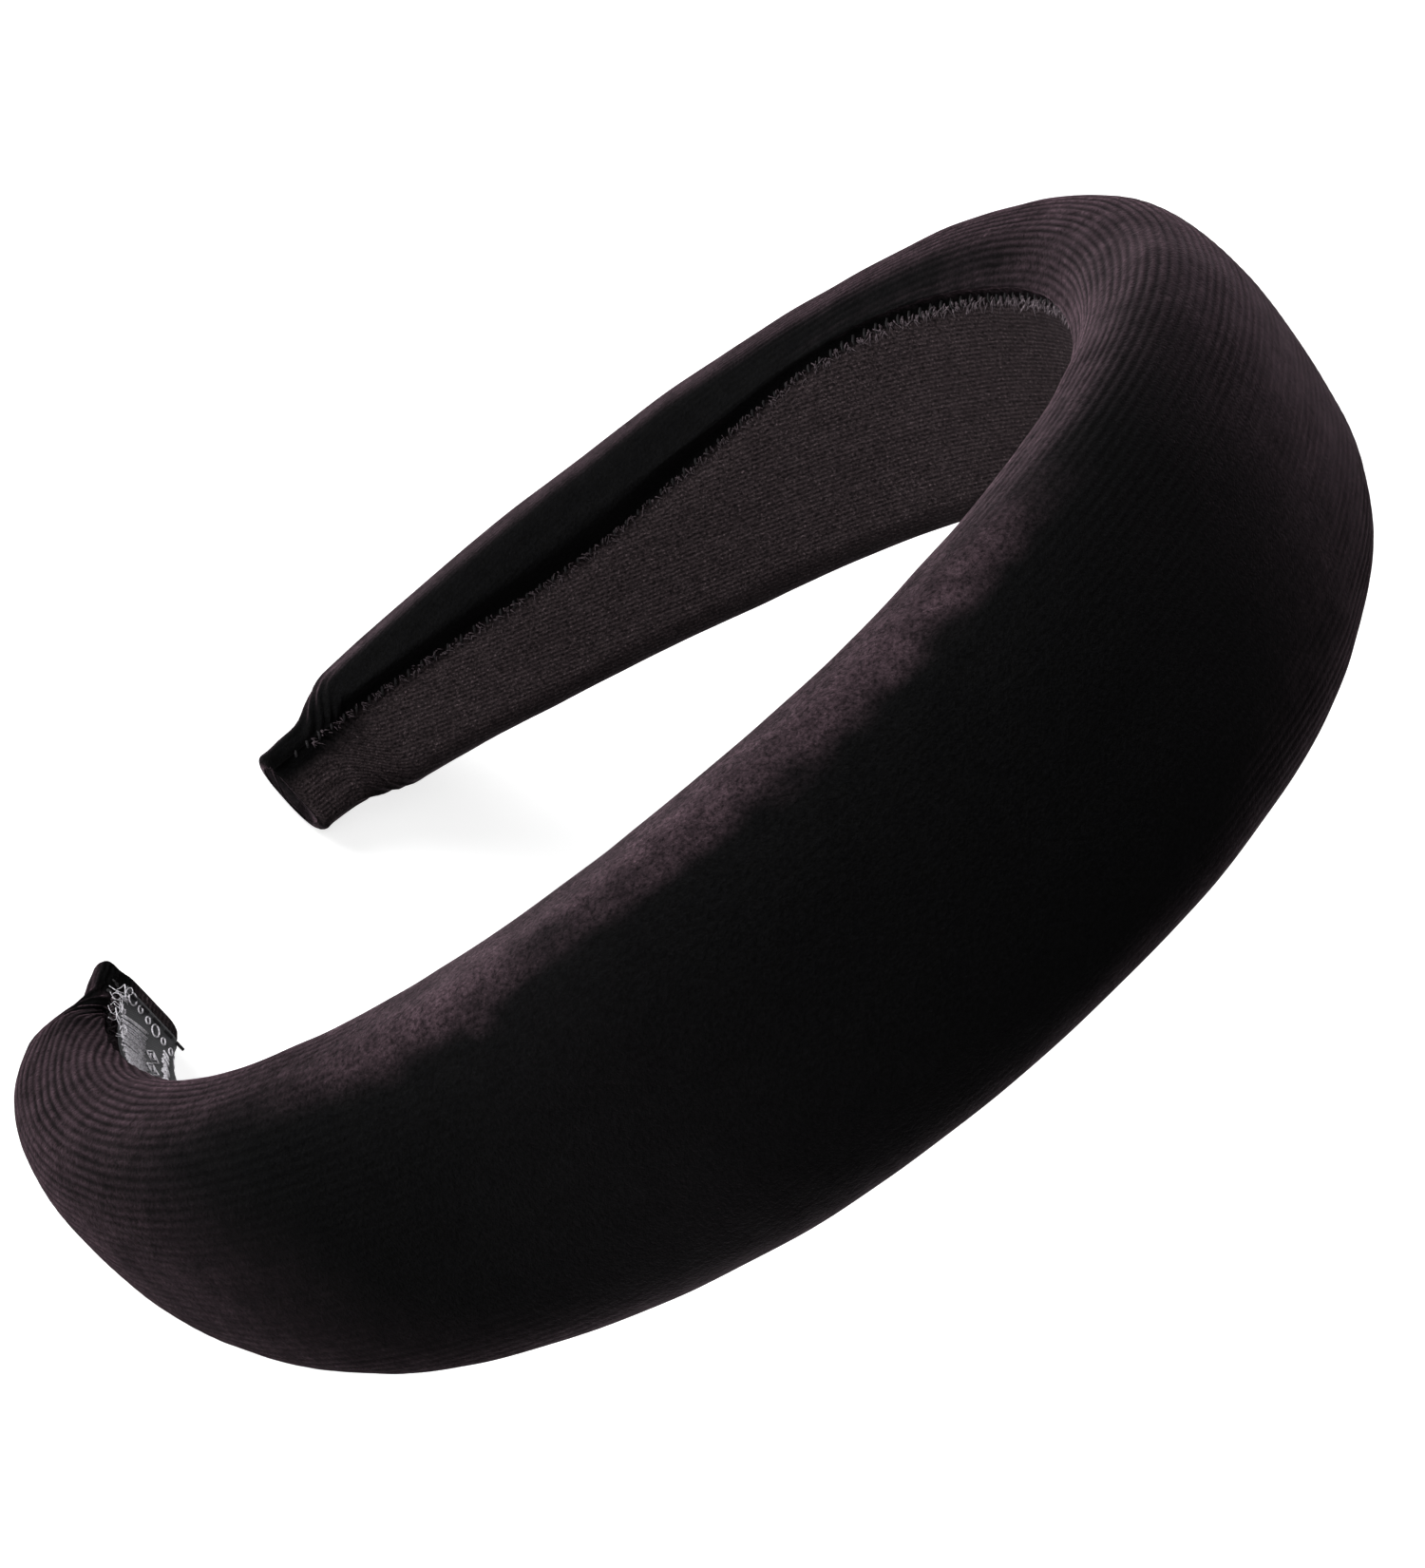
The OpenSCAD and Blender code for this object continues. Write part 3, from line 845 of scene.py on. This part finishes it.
def seam_tufts(material):
    """Tufts of pile that the stitches push up out of the seam, a few blades to a tuft."""
    rng = np.random.default_rng(71)
    count = int((HALF_L - TIP_L) // STITCH_PITCH)
    part = np.linspace(0, 1, 5)
    parts, ways = [], []
    for i in np.repeat(np.arange(-count, count), TUFT_BLADES):
        l0 = (i + 0.62 + rng.normal(0, 0.16)) * STITCH_PITCH
        y0 = -seam_y(np.array([l0])) + rng.uniform(-0.3, 0.9)
        long = 0.6 + 0.5 * math.exp(-(l0 / 70) ** 2)
        length, lean = long * rng.uniform(0.6, 1.7), rng.normal(0.15, 0.6)
        back = rng.uniform(0.1, 1.0)
        l = l0 + lean * length * part
        y = y0 + back * length * part ** 1.5
        h = 0.55 - length * part * (1 - 0.35 * part * back)
        parts.append(tube(band_point(l, y, h), rng.uniform(0.08, 0.16), 4, 0.15))
        ways.append(np.repeat(l0, 4 * len(part)))
    points, faces = joined(parts)
    rows = np.concatenate(ways)
    cloth = np.stack([rows, 0 * rows, 0.8 + 0 * rows], axis=-1)
    # Painted highlight: the tufts are paler near the crown, where light catches them
    pale = np.exp(-(rows / 65) ** 2)
    pile = np.stack([0.15 + 0.85 * pale, 0 * rows, 0 * rows], axis=-1)
    return make_piece("seam_pile_tufts", points, faces, material, "cover_velvet",
                      cloth=cloth, pile=pile, nap=pile_lean(rows))


def on_label(l, y, h):
    """Points on the label, which bends up with the tip's rim where it reaches over it."""
    l, y, h = np.broadcast_arrays(l, y, h)
    over = np.clip((y - band_w(l) / 2) / LABEL_BEND + 1, 0, None)
    return band_point(l, y - LABEL_BEND_IN * over ** 2, h + LABEL_BEND_UP * over ** 2)


def label_ribbon(material):
    """Woven ribbon, a little waved along its edges."""
    l = even_rows(LABEL_START, LABEL_START + LABEL_L, LABEL_COLUMN)
    half = np.full(len(l), LABEL_W / 2)
    front = Grid(-half / LABEL_COLUMN, half / LABEL_COLUMN)
    back = Grid(-half / LABEL_BACK_COLUMN, half / LABEL_BACK_COLUMN)
    y, back_y = front.column * LABEL_COLUMN, back.column * LABEL_BACK_COLUMN
    wave = 0.12 * (np.abs(y) / (LABEL_W / 2)) ** 3 * soft_noise(l[front.row] / 3, y / 9, 61)
    around = 2 * np.pi / LABEL_WEAVE
    weave = 0.025 * np.cos(around * y) * np.cos(around * l[front.row])
    fold = -0.12 * np.exp(-((LABEL_START + LABEL_L - 0.5 - l[front.row]) / 0.35) ** 2)
    skin = on_label(l[front.row], LABEL_Y + y, -GAP - LABEL_T + wave + weave + fold)
    rear = on_label(l[back.row], LABEL_Y + back_y, np.full(len(back_y), -GAP))
    cloth = np.stack([np.concatenate([l[front.row], l[back.row]]),
                      np.concatenate([y, back_y]), np.zeros(len(y) + len(back_y))], axis=-1)
    faces = [face[::-1] for face in shell_faces(front, back)]
    return make_piece("label_ribbon", np.concatenate([skin, rear]), faces, material,
                      "label_weave", ["woven_label"], cloth=cloth)


def label_pattern(material):
    """Pale generic pattern on the label: a chain of small rings across its tip end, then
    rows of slanted satin threads with a row of lozenges between them."""
    parts = []
    top = -GAP - LABEL_T - 0.06
    front, rear = LABEL_Y - LABEL_W / 2, LABEL_Y + LABEL_W / 2
    end = LABEL_START + LABEL_L
    turn = np.linspace(0, 2 * math.pi, 13)
    for i, y in enumerate(np.arange(front + 1.2, rear - 0.5, RING_PITCH)):
        size = RING_BIG if i % 3 == 0 else RING_SMALL
        ring_l = end - 0.9 - 0.28 * (y - front) + size * np.cos(turn)
        parts.append(tube(on_label(ring_l, y + 0.6 * size * np.sin(turn), top), PATTERN_R, 5))
    part = np.linspace(0, 1, 6)
    rng = np.random.default_rng(59)
    for low, high, lean in ((front + 0.3, front + 4.4, 1.3), (front + 7.4, rear - 2.0, -0.8)):
        for l in np.arange(LABEL_START + 1.6, end - 4.4, SATIN_PITCH):
            y = low + (high - low) * part + rng.uniform(-0.25, 0.25)
            h = top - 0.12 * np.sin(math.pi * part)
            thread_l = l + lean * (part - 0.5) + rng.uniform(-0.1, 0.1)
            parts.append(tube(on_label(thread_l, y, h), PATTERN_R, 5))
    corner = turn[::3]
    for l in np.arange(LABEL_START + 3, end - 5, LOZENGE_PITCH):
        for share in (1.0, 0.5):
            y = front + 5.65 + 1.05 * share * np.sin(corner)
            parts.append(tube(on_label(l + 1.3 * share * np.cos(corner), y, top), PATTERN_R, 5))
    points, faces = joined(parts)
    return make_piece("label_pattern", points, faces, material, "label_weave")


def frayed_threads(material):
    """Loose pale thread ends along the label's front edge."""
    rng = np.random.default_rng(67)
    part = np.linspace(0, 1, 22)
    parts = []
    for _ in range(FRAY_COUNT):
        l0 = LABEL_START + LABEL_L - rng.uniform(1.5, 12)
        size, curl = rng.uniform(0.3, 0.9), rng.uniform(0.6, 2.2)
        turn = rng.uniform(0, 6.28) + curl * 2 * math.pi * part
        l = l0 + size * np.cos(turn) + rng.uniform(-1.2, 1.6) * part
        y = LABEL_Y - LABEL_W / 2 + 0.3 - rng.uniform(0.6, 2.8) * part + 0.5 * size * np.sin(turn)
        h = -0.5 - rng.uniform(0.2, 0.9) * np.sin(math.pi * part)
        parts.append(tube(band_point(l, y, h), FRAY_R, 5, 0.6))
    points, faces = joined(parts)
    return make_piece("frayed_thread_ends", points, faces, material, "label_weave")


# ---------------------------------------------------------------- studio

def studio_floor(material):
    """Square floor just under the band's tips, its sizes in metres."""
    size, level = 2.6, cad_box[0][2] - 0.0002
    ways = [(-1, -1), (1, -1), (1, 1), (-1, 1)]
    corners = [(x * size, y * size, level) for x, y in ways]
    mesh = bpy.data.meshes.new("studio_floor")
    mesh.from_pydata(corners, [], [(0, 1, 2, 3)])
    mesh.materials.append(material)
    floor = bpy.data.objects.new("studio_floor", mesh)
    bpy.context.scene.collection.objects.link(floor)


def softbox(name, way, distance, size, power):
    """Square area light that looks at the band's middle from the given way."""
    data = bpy.data.lights.new(name, "AREA")
    data.shape = "SQUARE"
    data.size = size
    data.energy = power
    lamp = bpy.data.objects.new(name, data)
    lamp.location = Vector(way).normalized() * distance
    lamp.rotation_euler = (-lamp.location).to_track_quat("-Z", "Y").to_euler()
    bpy.context.scene.collection.objects.link(lamp)


def studio_light():
    """White background that lights the band less than it shows, and two soft boxes."""
    world = bpy.data.worlds.new("studio")
    bpy.context.scene.world = world
    world.use_nodes = True
    nodes, links = world.node_tree.nodes, world.node_tree.links
    seen = nodes.new("ShaderNodeLightPath").outputs["Is Camera Ray"]
    strength = nodes.new("ShaderNodeMapRange")
    strength.inputs["To Min"].default_value = 0.32
    strength.inputs["To Max"].default_value = 1.0
    links.new(seen, strength.inputs["Value"])
    links.new(strength.outputs["Result"], nodes["Background"].inputs["Strength"])
    nodes["Background"].inputs["Color"].default_value = colour(1, 1, 1)
    softbox("key_light", (0.3, -0.9, 0.2), 0.9, 0.5, 19.0)
    softbox("top_light", (0.0, 0.0, 1.0), 1.0, 0.9, 3.0)


def camera():
    """Camera that looks down at the wearer's left arm, rolled as the band was held."""
    turn, height, roll = (math.radians(x) for x in (68.19, 36.15, 63.87))
    flat = math.cos(height)
    back = Vector((math.sin(turn) * flat, -math.cos(turn) * flat, math.sin(height)))
    level = Vector((0, 0, 1)).cross(back).normalized()
    upright = back.cross(level)
    right = math.cos(roll) * level + math.sin(roll) * upright
    up = math.cos(roll) * upright - math.sin(roll) * level
    place = Vector((0, 0, 0.0096)) + back * 0.30875
    data = bpy.data.cameras.new("camera")
    data.sensor_width = 36
    data.lens = 63.17
    data.shift_x, data.shift_y = -0.0015, -0.019
    data.clip_start = 0.01
    eye = bpy.data.objects.new("camera", data)
    axes = Matrix((right, up, back)).transposed()
    eye.matrix_world = Matrix.Translation(place) @ axes.to_4x4()
    bpy.context.scene.collection.objects.link(eye)
    bpy.context.scene.camera = eye


# ---------------------------------------------------------------- the whole band

camera()
bpy.context.scene.view_settings.view_transform = "Standard"

cover_finish = velvet("cover_velvet", (0.0008, 0.0008, 0.0009), (0.042, 0.0262, 0.0325),
                      (0.018, 0.0135, 0.0145), 0.08, colour(0.5, 0.36, 0.44))
dark_thread = thread_finish("dark_thread", (0.002, 0.0015, 0.002), (0.007, 0.006, 0.007))
pale_thread = thread_finish("pale_thread", (0.18, 0.17, 0.185), (0.62, 0.6, 0.64))
pile_tips = velvet("pile_tips", (0.012, 0.009, 0.01), (0.05, 0.04, 0.045),
                   (0.085, 0.07, 0.078), 0.08, colour(0.6, 0.5, 0.56))

velvet_sleeve(cover_finish)
foam_pad(foam_finish())
tip_tuck("left_tip_tuck_cloth", "left_tip_tuck", 1, cover_finish)
tip_tuck("right_tip_tuck_cloth", "right_tip_tuck", -1, cover_finish)
seam_stitches(dark_thread)
seam_tufts(pile_tips)
ribbon = label_ribbon(ribbon_finish())
label_pattern(pale_thread)
frayed_threads(pale_thread)

for node, finish in (("hoop_core", plastic_finish()), ("pad_adhesive", glue_finish()),
                     ("cover_adhesive", glue_finish()), ("label_stitches", dark_thread)):
    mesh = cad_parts[node].data
    mesh.materials.clear()
    mesh.materials.append(finish)

studio_floor(floor_finish())
studio_light()
